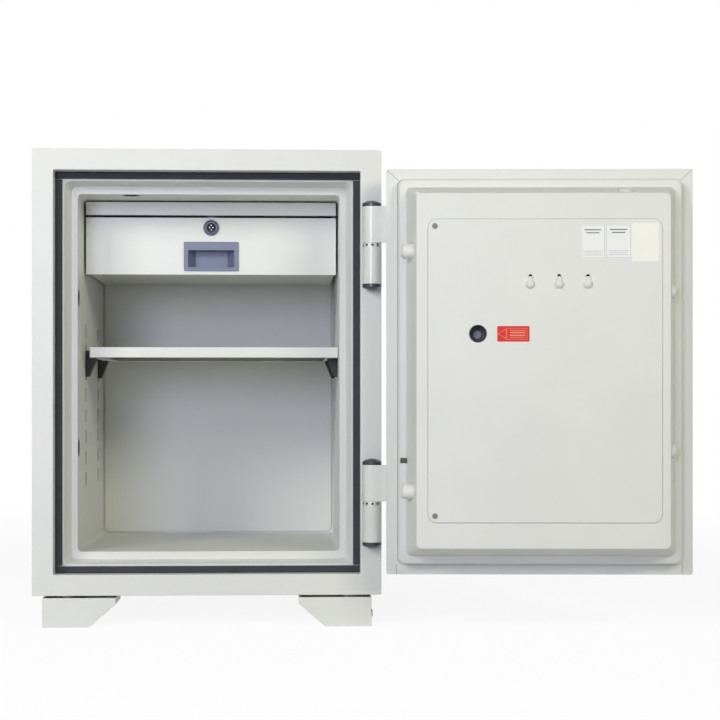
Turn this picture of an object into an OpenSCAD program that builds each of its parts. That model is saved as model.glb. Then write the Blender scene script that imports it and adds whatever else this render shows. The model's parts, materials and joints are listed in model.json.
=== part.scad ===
// Fireproof safe with its door swung open. Sizes are in millimetres.
// +X runs to the right, +Y to the back and +Z up; the origin is in the middle of the front left foot's sole.
// The modules draw about the middle of the body's underside, and place() sets the safe down on the floor.
// Door pieces are drawn shut and then swung about the hinge pins by door_angle.

/* [Body] */
// Outside width of the body
body_w = 483; // [460:1:540]
// Outside height of the body without its feet
body_h = 618; // [600:1:700]
// Outside depth of the body
body_d = 460; // [450:1:520]
// Thickness of the outer steel sheet
shell_t = 2; // [1.5:0.1:2.5]
// Radius of the body's long edges
body_r = 3; // [3:0.5:6]
// Thickness of the thin inner sheets
sheet_t = 1.2; // [1:0.1:1.5]
// Depth from the front face to the front of the back panel
inside_d = 402.8; // [380:0.1:410]

/* [Door opening] */
// Width of the front frame on all four sides
frame_w = 29; // [26:0.5:34]
// Depth of the rebate that takes the door's flange
rebate_d = 26.6; // [24:0.2:30]
// Width of the seal strips
seal_w = 9.1; // [7:0.1:10]
// Thickness of the seal strips
seal_t = 4; // [3:0.1:5]
// Gap between the level seal strips and the upright ones
seal_joint = 1.4; // [0.5:0.1:2.5]
// Width of the bare ledge beside the seal
lip_w = 3.4; // [2:0.1:5]
// Depth of the stepped jamb behind the ledge
recess_d = 26; // [24:0.1:28]
// How much the jamb narrows on each side over its depth
recess_draft = 6.7; // [5:0.1:7]
// How much it narrows at the top and at the bottom
recess_draft_z = 4.6; // [3:0.1:7]
// Width of the jamb's inner ledge at the sides
jamb_ledge_w = 8.6; // [7:0.1:12]
// Height of the same ledge at the top and bottom
jamb_ledge_h = 10.7; // [8:0.1:14]
// Corner radius of the jamb
jamb_r = 9; // [6:0.5:12]
// Thickness of the jamb sheet
jamb_t = 1.5; // [1.2:0.1:1.8]

/* [Liner] */
// Inside corner radius of the liner
liner_r = 6; // [4:0.5:8]
// Gap round the back panel
panel_gap = 3; // [2:0.5:4]
// Corner radius of the back panel
panel_r = 10; // [7:0.5:14]
// Gap between the back panel and the liner's back wall
panel_stand = 2.4; // [1.5:0.1:4]
// Height of the lowest window's centre above the body's bottom
window_z = 154.8; // [150:0.1:165]
// Height pitch of the windows
window_pitch = 31; // [29:0.5:32]
// Number of windows in a column
window_count = 8; // [7:1:8]
// Width of a window from front to back
window_w = 14; // [10:0.5:20]
// Height of a window
window_h = 19.5; // [18:0.5:22]
// Depth of the front column of windows
window_front = 160; // [150:1:175]
// Depth of the rear column of windows
window_rear = 328; // [300:1:340]
// Depth of the channel behind the windows
channel_d = 7; // [6:0.5:9]

/* [Shelf] */
// Window, counted from the lowest as 0, that the brackets hook into
shelf_row = 6; // [3:1:6]
// Thickness of the folded shelf
shelf_t = 14.7; // [12:0.1:16]
// Total side play of the shelf in the liner
shelf_play = 12.1; // [11:0.1:14]
// Gap between the shelf and the right wall
shelf_gap = 0.9; // [0.5:0.1:2]
// Depth at which the shelf starts
shelf_y = 105; // [100:1:120]
// Gap between the shelf and the back panel
shelf_back = 17.8; // [5:0.1:45]
// Distance that a bracket stands out from the wall
bracket_out = 15; // [14:0.5:18]
// Thickness of a bracket's upright
bracket_t = 5; // [4:0.5:6]
// Height of a bracket's upright above the shelf's underside
bracket_up = 11; // [9:0.5:12]
// Thickness of a bracket's tab
tab_t = 3; // [2:0.1:4]
// Width of the shelf's inturned edges
shelf_lip = 17; // [14:0.5:22]
// Height of a bracket below the shelf
bracket_drop = 27; // [24:0.5:32]
// Width of a bracket from front to back
bracket_w = 20; // [16:0.5:24]
// Height of the hooked window's centre above the shelf's underside
shelf_below = 8.6; // [8:0.1:9.4]

/* [Feet] */
// Height of the feet
foot_h = 44; // [36:1:60]
// Shadow gap between the foot plates and the body
foot_gap = 3.5; // [2:0.5:6]
// Length of a foot
foot_len = 101; // [90:1:120]
// Length of a foot's sole
foot_sole = 64; // [56:1:75]
// Height of a foot's short inner edge
foot_edge = 9; // [6:0.5:14]
// Depth of a foot
foot_d = 75; // [60:1:100]
// Set-in of the feet from the body's sides
foot_in = 13.6; // [10:0.1:20]
// Set-in of the feet from the front and back
foot_set = 3; // [1:0.5:10]
// Thickness of the foot plates
foot_t = 2.5; // [2:0.1:3]
// Radius of the post inside each foot
post_r = 14; // [10:0.5:16]
// Height of the cross bolt above the floor
foot_bolt_z = 14; // [12:0.5:20]

/* [Hinges] */
// Swing of the door from shut
door_angle = 177; // [0:1:180]
// Distance of the pins from the body's right side
hinge_in = 13.7; // [13.5:0.1:18]
// Radius of the knuckles
barrel_r = 13.4; // [12:0.1:14]
// Gap between a knuckle and the front face
hinge_gap = 0.6; // [0.5:0.1:1.5]
// Height of one knuckle
knuckle_h = 50.2; // [40:0.1:60]
// Height of the thrust bearing
bearing_h = 6.2; // [5.6:0.1:8]
// Height of a domed cap
cap_h = 8.6; // [6:0.1:12]
// Distance of each hinge from the middle between the hinges
hinge_z = 178.2; // [160:0.1:200]
// How far the middle between the hinges lies below the middle of the body's height
hinge_drop = 3; // [0:0.1:6]
// Radius of the hinge pins
pin_r = 6; // [5:0.1:7]
// Thickness of the door straps
strap_t = 6.2; // [5:0.1:8]
// Length of the strap that lies on the door
strap_len = 40; // [30:1:60]

/* [Door] */
// Gap between the door and the frame
door_gap = 4.2; // [3.5:0.1:5]
// Gap between the shut door's flange and the seals
seal_gap = 0.3; // [0.3:0.1:1]
// Thickness of the door's outer sheet
door_t = 2; // [1.5:0.1:3]
// Gap between the jamb's mouth and the foot of the door's first step, at the sides
step_gap = 7; // [6.5:0.1:9]
// The same gap at the top and bottom
step_gap_z = 5.5; // [4:0.1:13]
// Height of the first step above the flange
step_h = 18; // [14:0.5:19]
// Side draft of the first step
step_draft = 1.5; // [1:0.1:3]
// Gap between the opening and the foot of the plug
plug_gap = 3.2; // [3:0.1:5]
// Height of the plug above the first step
plug_h = 48; // [46:0.5:54]
// Draft of the plug on each side
plug_draft = 12.7; // [12.5:0.1:15]
// Thickness of the inner pan
pan_t = 1.5; // [1.2:0.1:2]
// Distance of the small slot in the step below the middle of the door
slot_down = 117; // [100:1:150]
// Height of the small slot in the step
slot_h = 7; // [4:0.5:9]
// How far the slot runs out over the step from the plug's foot
slot_out = 7.5; // [5:0.5:8]
// How far the slot runs up the plug's side
slot_up = 6; // [3:0.5:8]
// Margin of the plug's face beside the inner cover
cover_side = 13.8; // [12:0.1:24]
// Margin of the plug's face above and below the inner cover
cover_ends = 35.1; // [26:0.1:46]
// Offset of the cover towards the latch side
cover_off = 2; // [0:0.5:4]
// Corner radius of the cover
cover_r = 12; // [8:0.5:14]
// Overlap of the cover on the pan round its window
cover_lap = 14; // [12:0.5:18]
// Set-in of the cover screws from the cover's edges
screw_in = 9; // [8:0.5:10]
// Height of the tops of the key hooks above the middle of the door
hook_z = 125; // [110:0.1:140]
// Distance of the middle key hook from the door's centre line
hook_x = 20.5; // [15:0.5:25]
// Pitch of the key hooks
hook_pitch = 38.1; // [34:0.1:42]
// Height of a key hook
hook_len = 16; // [13:0.5:18]
// Radius of a key hook's round lower part
hook_r = 5.7; // [5:0.1:6.5]
// Radius of a key hook's neck
hook_top_r = 3.3; // [3:0.1:4]
// Height of a key hook's neck
hook_neck = 3; // [2:0.1:4]

/* [Bolts] */
// Diameter of the bolts
bolt_d = 20.5; // [16:0.5:21]
// Distance of the bolts from the plug's face
bolt_set = 18; // [15.5:0.1:18]
// Distance of each fixed bolt from the middle of the height
fixed_z = 160.4; // [150:0.1:170]
// Distance of each live bolt from the middle of the height
live_z = 106.2; // [95:0.1:115]
// Distance of the top bolt's axis from the live bolts' carrier
top_in = 25.3; // [20:0.1:30]
// How far the fixed bolts stand out of the plug
fixed_out = 15; // [12:0.5:17]
// Radius of the bolt holes in the liner
hole_r = 13; // [11.5:0.1:13]
// Extra length of the hinge-side holes for the door's swing
hole_slot = 3; // [2:0.5:4]
// How far the drawn-in live bolts stand out of the plug
bolt_stand = 4.5; // [2:0.1:5]
// How far the drawn-in top bolt stands out of the plug
top_stand = 1.5; // [0.5:0.1:4]
// Chamfer at the bolts' ends
bolt_chamfer = 3; // [1:0.1:4]
// Throw of the live bolts
bolt_throw = 20; // [16:0.5:22]
// Play of the driving pins in their slots
pin_play = 0.65; // [0.6:0.05:0.9]
// Length of the live bolts' bar past the centre of each bolt
bar_past = 13; // [11:0.5:18]

/* [Handle and lock] */
// Distance of the handle from the centre line
handle_x = 60; // [55:1:65]
// Radius of the handle's spindle
spindle_r = 6; // [5:0.5:6.5]
// Length of the lever from the spindle
lever_len = 95; // [80:1:110]
// Distance that the lever stands out from the door
lever_out = 36; // [32:1:44]
// Radius of the lever's hub
hub_r = 13; // [11:0.5:15]
// Radius of the lever's tip
tip_r = 8; // [6:0.5:10]
// Radius of the rose
rose_r = 24; // [20:0.5:28]
// Thickness of the rose
rose_t = 7; // [6:0.5:9]
// Width of the lock case
case_w = 60; // [50:1:64]
// Height of the lock case
case_h = 90; // [80:1:100]
// Distance of the code button from the centre line
button_x = 86.9; // [84:0.1:92]
// Height of the code button above the middle of the door
button_z = 49.2; // [40:0.1:60]
// Inside radius of the button's well
well_r = 10.6; // [9:0.1:12]
// Depth of the well below the cover
well_d = 29; // [24:0.5:30]
// Radius of the code button
button_r = 6.1; // [5:0.1:7]
// Travel of the code button
button_throw = 1.5; // [1:0.1:2]
// Distance of the keypad's centre from the button's, towards the middle of the door
keypad_in = 3; // [0:1:20]
// Height of the keypad's centre above the middle of the door
keypad_up = 75; // [60:1:100]
// Width of the keypad
keypad_w = 78; // [74:1:90]
// Height of the keypad
keypad_h = 104; // [94:1:120]
// Thickness of the keypad
keypad_t = 12; // [11:0.5:15]
// Column pitch of the keys
key_pitch_x = 22; // [20:0.5:24]
// Row pitch of the keys
key_pitch_z = 19; // [17:0.5:21]
// Width of a key
key_w = 16; // [14:0.5:18]
// Height of a key
key_h = 13; // [11:0.5:15]
// Travel of a key
key_throw = 1.2; // [0.8:0.1:1.4]

/* [Drawer unit] */
// Gap between the shut door's plug and the drawer unit
unit_gap = 41.7; // [6:0.1:50]
// Gap between the drawer unit and the back panel
unit_back = 2.8; // [2:0.1:60]
// Gap between the ceiling and the drawer unit
unit_top = 2.2; // [2:0.1:8]
// Gap between the drawer front and the side walls
front_side = 3; // [2.5:0.1:8]
// Height of the fixed fascia strip
fascia_h = 19.1; // [15:0.1:20]
// Gap between the fascia and the drawer front
fascia_gap = 3.5; // [3:0.1:6]
// Height of the drawer front
front_h = 83; // [78:0.1:95]
// Thickness of the drawer front and the fascia
front_t = 1.5; // [1.2:0.1:2]
// Height of the tray's walls
tray_h = 50; // [44:1:50]
// Distance of the drawer lock from the top of the drawer front
lock_down = 14.6; // [13:0.1:16]
// Radius of the drawer lock's ring
lock_ring_r = 11.8; // [11:0.1:12.5]
// Radius of the drawer lock's rotor
rotor_r = 7; // [6:0.1:7.4]
// Length of the drawer lock's cam
cam_len = 17.5; // [16.5:0.1:18]
// Width of the finger pull
pull_w = 79.4; // [74:0.1:90]
// Distance of the hanging screws from the cabinet's ends
hang_end = 30; // [20:1:60]
// Distance of the hanging screws from the cabinet's sides
hang_side = 40; // [20:1:60]
// Height of the finger pull
pull_h = 42.4; // [38:0.1:44]
// Height of the pull's lower edge above the drawer front's
pull_up = 5.4; // [5:0.1:6]
// Width of the pull's recess
recess_w = 67; // [58:0.1:70]
// Height of the recess's lower edge above the pull's
recess_up = 5.4; // [4:0.1:6]
// Height of the pull's recess
recess_h = 24.7; // [20:0.1:27]
// Depth of the pull's recess
pull_d = 17; // [12:0.5:20]
// How far each end of the recess slopes in towards its floor
recess_slope = 10; // [4:0.5:14]

/* [Hidden] */

$fn = 48;
eps = 0.01;
// Clearances: sheet against fill, mitred corners, running fit of turning parts, loose fit of bolts in
// sheet holes
fill_gap = 0.3;
mitre_gap = 0.06;
run_gap = 0.06;
hole_gap = 0.4;

// Body planes
yf = -body_d / 2;
zc = body_h / 2;

// Door opening, from the outside in: rebate, mouth of the jamb, its inner end, clear opening
reb_w = body_w - 2 * frame_w;
reb_h = body_h - 2 * frame_w;
mouth_w = reb_w - 2 * (seal_w + lip_w);
mouth_h = reb_h - 2 * (seal_w + lip_w);
deep_w = mouth_w - 2 * recess_draft;
deep_h = mouth_h - 2 * recess_draft_z;
open_w = deep_w - 2 * jamb_ledge_w;
open_h = deep_h - 2 * jamb_ledge_h;
ledge_y = rebate_d + shell_t;
recess_y = rebate_d + recess_d;
liner_back = inside_d + panel_stand;
floor_z = zc - open_h / 2;
ceil_z = zc + open_h / 2;

// Door, with depths counted from the body's front face
door_w = reb_w - 2 * door_gap;
door_h = reb_h - 2 * door_gap;
flange_y = rebate_d - seal_t - seal_gap;
step_y = flange_y + step_h;
face_y = step_y + plug_h;
foot_step_w = mouth_w - 2 * step_gap;
foot_step_h = mouth_h - 2 * step_gap_z;
top_step_w = foot_step_w - 2 * step_draft;
top_step_h = foot_step_h - 2 * step_draft;
plug_w = open_w - 2 * plug_gap;
plug_hh = open_h - 2 * plug_gap;
face_w = plug_w - 2 * plug_draft;
face_h = plug_hh - 2 * plug_draft;
cover_w = face_w - 2 * cover_side;
cover_h = face_h - 2 * cover_ends;
screw_x = cover_w / 2 - cover_off - screw_in;
screw_z = cover_h / 2 - screw_in;
step_r = 10;
plug_r = 7;
bolt_y = face_y - bolt_set;
bolt_r = bolt_d / 2;
plate_y = step_y + 10;
plate_t = 2;
draft_at_bolt = plug_draft * (bolt_y - step_y) / plug_h;
wall_x = plug_w / 2 - draft_at_bolt;
wall_z = plug_hh / 2 - draft_at_bolt;

// Hinge axis
hx = body_w / 2 - hinge_in;
hy = yf - barrel_r - hinge_gap;
hinge_mid = zc - hinge_drop;

// Handle linkage: two pins on the cam, a quarter turn apart, swing 45 degrees to each side
crank_r = bolt_throw / sqrt(2);
cam_y = plate_y + plate_t + 5;
cam_t = 4;
arm_y = cam_y + cam_t + 1;
arm_t = 3;
rod_y = arm_y + arm_t + 2;
rod_t = 3;
crank_pin_r = 3;
// The carrier's arm runs below the cam, and its finger rises over the first pin
arm_low = crank_r + crank_pin_r + 27;
arm_w = 16;
finger_w = 18;
rod_w = 14;
bar_x = wall_x - 12 - bolt_throw;
bar_t = 5;
top_x = bar_x - bar_t - top_in;

// Button and lock case
case_y = plate_y + plate_t;
well_y = face_y + sheet_t - well_d;

// Keypad, centred above the button's height on the front of the door
keypad_x = button_x - keypad_in;
keypad_z = zc + keypad_up;

// Drawer unit
unit_y = face_y + unit_gap;
unit_z = ceil_z - unit_top;
fascia_z = unit_z - fascia_h;
front_top = fascia_z - fascia_gap;
front_bot = front_top - front_h;
front_w = open_w - 2 * front_side;
cab_w = front_w - 5;
cab_y = unit_y + 8;
cab_back = inside_d - unit_back;
cab_bot = front_bot + 1.5;
tray_w = cab_w - 2 * sheet_t - 2;
tray_z = cab_bot + sheet_t + 0.3;
tray_y = unit_y + front_t;
tray_d = cab_back - tray_y - 12;
lock_z = front_top - lock_down;
lock_body_r = rotor_r + 2.4;
lock_len = 20;
pull_z = front_bot + pull_up;
pull_rz = pull_z + recess_up;

// Shelf
hook_window_z = window_z + shelf_row * window_pitch;
shelf_z = hook_window_z - shelf_below;
sill_z = shelf_below - window_h / 2;
shelf_w = open_w - shelf_play;
shelf_d = inside_d - shelf_back - shelf_y;
shelf_x = open_w / 2 - shelf_gap - shelf_w / 2;

// Outline of a rounded rectangle about the origin
module rr(w, h, r) {
  square([w - 2 * r, h], center = true);
  square([w, h - 2 * r], center = true);
  for (sx = [-1, 1], sz = [-1, 1])
    translate([sx * (w / 2 - r), sz * (h / 2 - r)]) circle(r);
}

// Upright slab between two depths behind the front face, centred on x and z
module slab(w, h, r, d0, d1, x = 0, z = zc) {
  translate([x, yf + d1, z]) rotate([90, 0, 0]) linear_extrude(d1 - d0) rr(w, h, r);
}

// Upright ring between two depths
module ring(w1, h1, r1, w0, h0, r0, d0, d1) {
  difference() {
    slab(w1, h1, r1, d0, d1);
    slab(w0, h0, r0, d0 - 1, d1 + 1);
  }
}

// Tapered block from one rounded outline to another
module taper(w0, h0, r0, d0, w1, h1, r1, d1) {
  hull() {
    slab(w0, h0, r0, d0, d0 + eps, $fn = 32);
    slab(w1, h1, r1, d1 - eps, d1, $fn = 32);
  }
}

// Box given by two corners
module box(a, b) {
  translate(a) cube(b - a);
}

// Round bars along each axis
module rod_x(r, x0, x1, d, z) {
  translate([x0, yf + d, z]) rotate([0, 90, 0]) cylinder(r = r, h = x1 - x0);
}
module rod_y(r, d0, d1, x, z) {
  translate([x, yf + d1, z]) rotate([90, 0, 0]) cylinder(r = r, h = d1 - d0);
}
module rod_z(r, z0, z1, x, d) {
  translate([x, yf + d, z0]) cylinder(r = r, h = z1 - z0);
}

// Sets the safe down on its feet, with the origin in the middle of the front left foot's sole
module place() {
  translate([body_w / 2 - foot_in - foot_sole / 2, -yf - foot_set - foot_d / 2, foot_h]) children();
}

// Swings door pieces out to their place
module on_door() {
  translate([hx, hy, 0]) rotate([0, 0, door_angle]) translate([-hx, -hy, 0]) children();
}

// Outer sheet: wrap, front frame, rebate and seal ledge folded from one sheet, open at the back
module body_shell() {
  color("gainsboro") union() {
    difference() {
      slab(body_w, body_h, body_r, 0, body_d);
      slab(body_w - 2 * shell_t, body_h - 2 * shell_t, body_r - shell_t, shell_t, body_d + 1);
      slab(reb_w, reb_h, 2, -1, shell_t + 1);
    }
    ring(reb_w + 2 * shell_t, reb_h + 2 * shell_t, 4, reb_w, reb_h, 2, 0, rebate_d + shell_t);
    ring(reb_w + shell_t, reb_h + shell_t, 3, mouth_w, mouth_h, jamb_r, rebate_d, rebate_d + shell_t);
  }
}

// Plate that closes the back of the shell
module back_plate() {
  color("gainsboro")
    slab(body_w - 2 * shell_t - 0.4, body_h - 2 * shell_t - 0.4, body_r - shell_t, body_d - shell_t, body_d);
}

// Fire-resisting fill between the shell and the liner, with pockets behind the bolt holes and windows
module body_insulation() {
  g = fill_gap;
  color("whitesmoke") difference() {
    slab(body_w - 2 * (shell_t + g), body_h - 2 * (shell_t + g), body_r, shell_t + g, body_d - shell_t - g);
    slab(reb_w + 2 * shell_t + 2 * g, reb_h + 2 * shell_t + 2 * g, 4, -1, rebate_d + shell_t + g);
    slab(mouth_w + 12 + 2 * g, mouth_h + 12 + 2 * g, jamb_r, -1, rebate_d + shell_t + jamb_t + g);
    slab(mouth_w + 2 * jamb_t + 2 * g, mouth_h + 2 * jamb_t + 2 * g, jamb_r, -1, recess_y + sheet_t + g);
    slab(open_w + 2 * sheet_t + 2 * g, open_h + 2 * sheet_t + 2 * g, liner_r, -1, liner_back + sheet_t + g);
    for (s = [-1, 1], d = [window_front, window_rear])
      box([s > 0 ? open_w / 2 : -open_w / 2 - sheet_t - channel_d, yf + d - window_w / 2 - 1,
           window_z - window_h],
          [s > 0 ? open_w / 2 + sheet_t + channel_d : -open_w / 2, yf + d + window_w / 2 + 1,
           window_z + (window_count - 1) * window_pitch + window_h]);
    for (s = [-1, 1]) {
      rod_x(hole_r + 1, -open_w / 2 - 16, -open_w / 2, bolt_y, zc + s * live_z);
      for (k = [0, hole_slot])
        rod_x(hole_r + 1, open_w / 2, open_w / 2 + 16, bolt_y - k, zc + s * fixed_z);
    }
    rod_z(hole_r + 1, ceil_z, ceil_z + 16, -top_x, bolt_y);
  }
}

// Jamb between the seal ledge and the liner: four strips mitred at the corners,
// each with a flange behind the ledge and a band that narrows inwards
module jamb_frame() {
  t = jamb_t;
  // Each mitre leans so that it runs from the mouth's corner to the corner of the narrower inner end
  lean = atan((recess_draft - recess_draft_z) / sqrt(2) / (recess_y - ledge_y));
  color("white") difference() {
    jamb_ring(t);
    for (sx = [-1, 1], sz = [-1, 1])
      translate([sx * mouth_w / 2, yf + ledge_y, zc + sz * mouth_h / 2])
        rotate([0, -sx * sz * 45, 0]) rotate([sz * lean, 0, 0])
          cube([4 * recess_d, 4 * recess_d, mitre_gap], center = true);
  }
}
module jamb_ring(t) {
  union() {
    ring(mouth_w + 12, mouth_h + 12, jamb_r + 4, mouth_w, mouth_h, jamb_r, ledge_y, ledge_y + t);
    difference() {
      taper(mouth_w + 2 * t, mouth_h + 2 * t, jamb_r + t, ledge_y,
            deep_w + 2 * t, deep_h + 2 * t, jamb_r + t, recess_y);
      taper(mouth_w, mouth_h, jamb_r, ledge_y - eps, deep_w, deep_h, jamb_r, recess_y + eps);
    }
  }
}

// Inner box with a front flange, windows for the shelf brackets and holes for the bolts
module inner_liner() {
  color("darkgray") difference() {
    union() {
      slab(deep_w + 2 * jamb_t, deep_h + 2 * jamb_t, jamb_r + jamb_t, recess_y, recess_y + sheet_t);
      slab(open_w + 2 * sheet_t, open_h + 2 * sheet_t, liner_r + sheet_t, recess_y, liner_back + sheet_t);
    }
    slab(open_w, open_h, liner_r, recess_y - 1, liner_back);
    for (i = [0 : window_count - 1], d = [window_front, window_rear])
      translate([0, yf + d, window_z + i * window_pitch])
        cube([open_w + 20, window_w, window_h], center = true);
    for (s = [-1, 1]) {
      rod_x(hole_r, -open_w / 2 - 10, -open_w / 2 + 1, bolt_y, zc + s * live_z);
      for (k = [0, hole_slot])
        rod_x(hole_r, open_w / 2 - 1, open_w / 2 + 10, bolt_y - k, zc + s * fixed_z);
    }
    rod_z(hole_r, ceil_z - 1, ceil_z + 10, -top_x, bolt_y);
    for (sx = [-1, 1], d = [cab_y + hang_end, cab_back - hang_end])
      rod_z(2.2, ceil_z - 1, ceil_z + 10, sx * (cab_w / 2 - hang_side), d);
  }
}

// Back panel, held off the liner's back wall by four pressed dimples
module liner_back_panel() {
  w = open_w - 2 * panel_gap;
  h = open_h - 2 * panel_gap;
  color("silver") union() {
    slab(w, h, panel_r, inside_d, inside_d + sheet_t);
    for (sx = [-1, 1], sz = [-1, 1])
      rod_y(9, inside_d, liner_back, sx * (w / 2 - 35), zc + sz * (h / 2 - 35));
  }
}

// Seal strips on the ledge: full width at the top and bottom, shorter at the sides
module seal_horizontal() {
  color("darkslategray") for (s = [-1, 1])
    slab(reb_w - 1, seal_w, 0.8, rebate_d - seal_t, rebate_d, 0, zc + s * (reb_h - 1 - seal_w) / 2);
}
module seal_vertical() {
  color("darkslategray") for (s = [-1, 1])
    slab(seal_w, reb_h - 1 - 2 * (seal_w + seal_joint), 0.8, rebate_d - seal_t, rebate_d,
         s * (reb_w - 1 - seal_w) / 2, zc);
}

// One folded foot at the left front: a trough with its inner lower corner cut off
module foot() {
  top = foot_h - foot_gap;
  t = foot_t;
  run = foot_len - foot_sole;
  rise = top - foot_edge;
  slope = sqrt(run * run + rise * rise);
  difference() {
    translate([0, foot_d, 0]) rotate([90, 0, 0]) linear_extrude(foot_d)
      polygon([[0, 0], [foot_sole, 0], [foot_len, rise], [foot_len, top], [0, top]]);
    translate([0, foot_d - t, 0]) rotate([90, 0, 0]) linear_extrude(foot_d - 2 * t)
      polygon([[t, t], [foot_sole + (run - slope) / rise * t, t],
               [foot_len - t, rise + (slope - rise) / run * t], [foot_len - t, top + 1], [t, top + 1]]);
    translate([-1, foot_d / 2, foot_bolt_z]) rotate([0, 90, 0]) cylinder(r = 4.2, h = t + 2);
  }
}
module feet(back) {
  for (s = [0, 1]) mirror([s, 0, 0]) mirror([0, back, 0])
    translate([-body_w / 2 + foot_in, yf + foot_set, -foot_h]) foot();
}
module front_feet() {
  color("gainsboro") feet(0);
}
module rear_feet() {
  color("gainsboro") feet(1);
}

// Posts that carry the body, one standing in each foot, drilled for the cross bolt
module foot_posts() {
  color("gray") for (sx = [0, 1], sy = [0, 1]) mirror([sx, 0, 0]) mirror([0, sy, 0])
    translate([-body_w / 2 + foot_in + foot_sole / 2, yf + foot_set + foot_d / 2, -foot_h]) difference() {
      translate([0, 0, foot_t]) cylinder(r = post_r, h = foot_h - foot_t);
      translate([-post_r - 1, 0, foot_bolt_z]) rotate([0, 90, 0]) cylinder(r = 4.1, h = post_r + 1);
    }
}

// Cross bolts that hold the foot plates to the posts
module foot_bolts() {
  color("silver") for (sx = [0, 1], sy = [0, 1]) mirror([sx, 0, 0]) mirror([0, sy, 0])
    translate([-body_w / 2 + foot_in, yf + foot_set + foot_d / 2, foot_bolt_z - foot_h]) rotate([0, 90, 0]) {
      translate([0, 0, -3.4]) cylinder(r1 = 4.6, r2 = 5.5, h = 1);
      translate([0, 0, -2.4]) cylinder(r = 5.5, h = 2.4);
      cylinder(r = 4, h = foot_sole / 2 - 1);
    }
}

// Lower knuckle of one hinge, welded to the front frame through a pad
module body_knuckle(z) {
  z1 = z - bearing_h / 2;
  difference() {
    union() {
      translate([hx, hy, z1 - knuckle_h]) cylinder(r = barrel_r, h = knuckle_h);
      box([hx - 9, hy, z1 - knuckle_h + 2], [hx + 9, yf, z1 - 2]);
    }
    translate([hx, hy, z1 - knuckle_h - 1]) cylinder(r = pin_r + 0.02, h = knuckle_h + 2);
  }
}
module hinge_body_knuckle_upper() {
  color("lightgray") body_knuckle(hinge_mid + hinge_z);
}
module hinge_body_knuckle_lower() {
  color("lightgray") body_knuckle(hinge_mid - hinge_z);
}

// Hinge pins, through both knuckles
module hinge_pins() {
  color("silver") for (s = [-1, 1])
    translate([hx, hy, hinge_mid + s * hinge_z - bearing_h / 2 - knuckle_h + 1])
      cylinder(r = pin_r, h = 2 * knuckle_h + bearing_h - 2);
}

// Thrust bearings: a bright band with ten ball pockets, and a ball in each
module hinge_bearings() {
  ball_r = bearing_h / 4;
  ring_r = barrel_r - 0.4;
  color("dimgray") for (s = [-1, 1]) translate([hx, hy, hinge_mid + s * hinge_z]) {
    difference() {
      cylinder(r = ring_r, h = bearing_h - 0.04, center = true);
      cylinder(r = pin_r + 0.4, h = bearing_h + 2, center = true);
      for (a = [0 : 36 : 324]) rotate([0, 90, a - 90])
        translate([0, 0, ring_r - 4.5]) cylinder(r = ball_r + 0.08, h = 6);
    }
    for (a = [0 : 36 : 324]) rotate([0, 0, a - 90])
      translate([ring_r - 2.6, 0, 0]) sphere(r = ball_r);
  }
}

// Domed cap, its flat side on z = 0
module cap() {
  rotate_extrude() intersection() {
    translate([0, -1.8 * barrel_r + cap_h]) circle(r = 1.8 * barrel_r, $fn = 96);
    square([barrel_r, cap_h]);
  }
}
module hinge_bottom_caps() {
  color("darkslategray") for (s = [-1, 1])
    translate([hx, hy, hinge_mid + s * hinge_z - bearing_h / 2 - knuckle_h]) mirror([0, 0, 1]) cap();
}

// Drawer cabinet: top, sides with inturned runners, back, and the fascia with its catch plate
module drawer_cabinet() {
  t = sheet_t;
  w = cab_w / 2;
  color("whitesmoke") union() {
    difference() {
      box([-w, yf + unit_y, unit_z - t], [w, yf + cab_back, unit_z]);
      for (sx = [-1, 1], d = [cab_y + hang_end, cab_back - hang_end])
        rod_z(2.2, unit_z - 2 * t, unit_z + t, sx * (w - hang_side), d);
    }
    box([-w, yf + cab_back - t, cab_bot], [w, yf + cab_back, unit_z]);
    for (s = [0, 1]) mirror([s, 0, 0]) {
      box([w - t, yf + cab_y, cab_bot], [w, yf + cab_back, unit_z]);
      box([w - 16, yf + cab_y, cab_bot], [w, yf + cab_back, cab_bot + t]);
    }
    box([-front_w / 2, yf + unit_y, fascia_z], [front_w / 2, yf + unit_y + front_t, unit_z]);
    box([-w, yf + unit_y, fascia_z], [w, yf + unit_y + 18, fascia_z + t]);
    box([-6.2, yf + unit_y + 4, fascia_z], [6.2, yf + unit_y + front_t + lock_len - 1, fascia_z + t]);
    box([-6.2, yf + unit_y + front_t + lock_len - 2.5, front_top - 3],
        [6.2, yf + unit_y + front_t + lock_len - 1, fascia_z + t]);
  }
}

// Screws with spacers that hang the cabinet from the ceiling
module cabinet_screws() {
  under = unit_z - sheet_t;
  color("gray") for (sx = [-1, 1], d = [cab_y + hang_end, cab_back - hang_end])
    translate([sx * (cab_w / 2 - hang_side), yf + d, 0]) union() {
      translate([0, 0, under - 2]) cylinder(r = 3.8, h = 2);
      translate([0, 0, under - 1]) cylinder(r = 2, h = ceil_z + sheet_t - under + 1);
      translate([0, 0, unit_z]) cylinder(r = 6, h = ceil_z - unit_z);
    }
}

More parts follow.
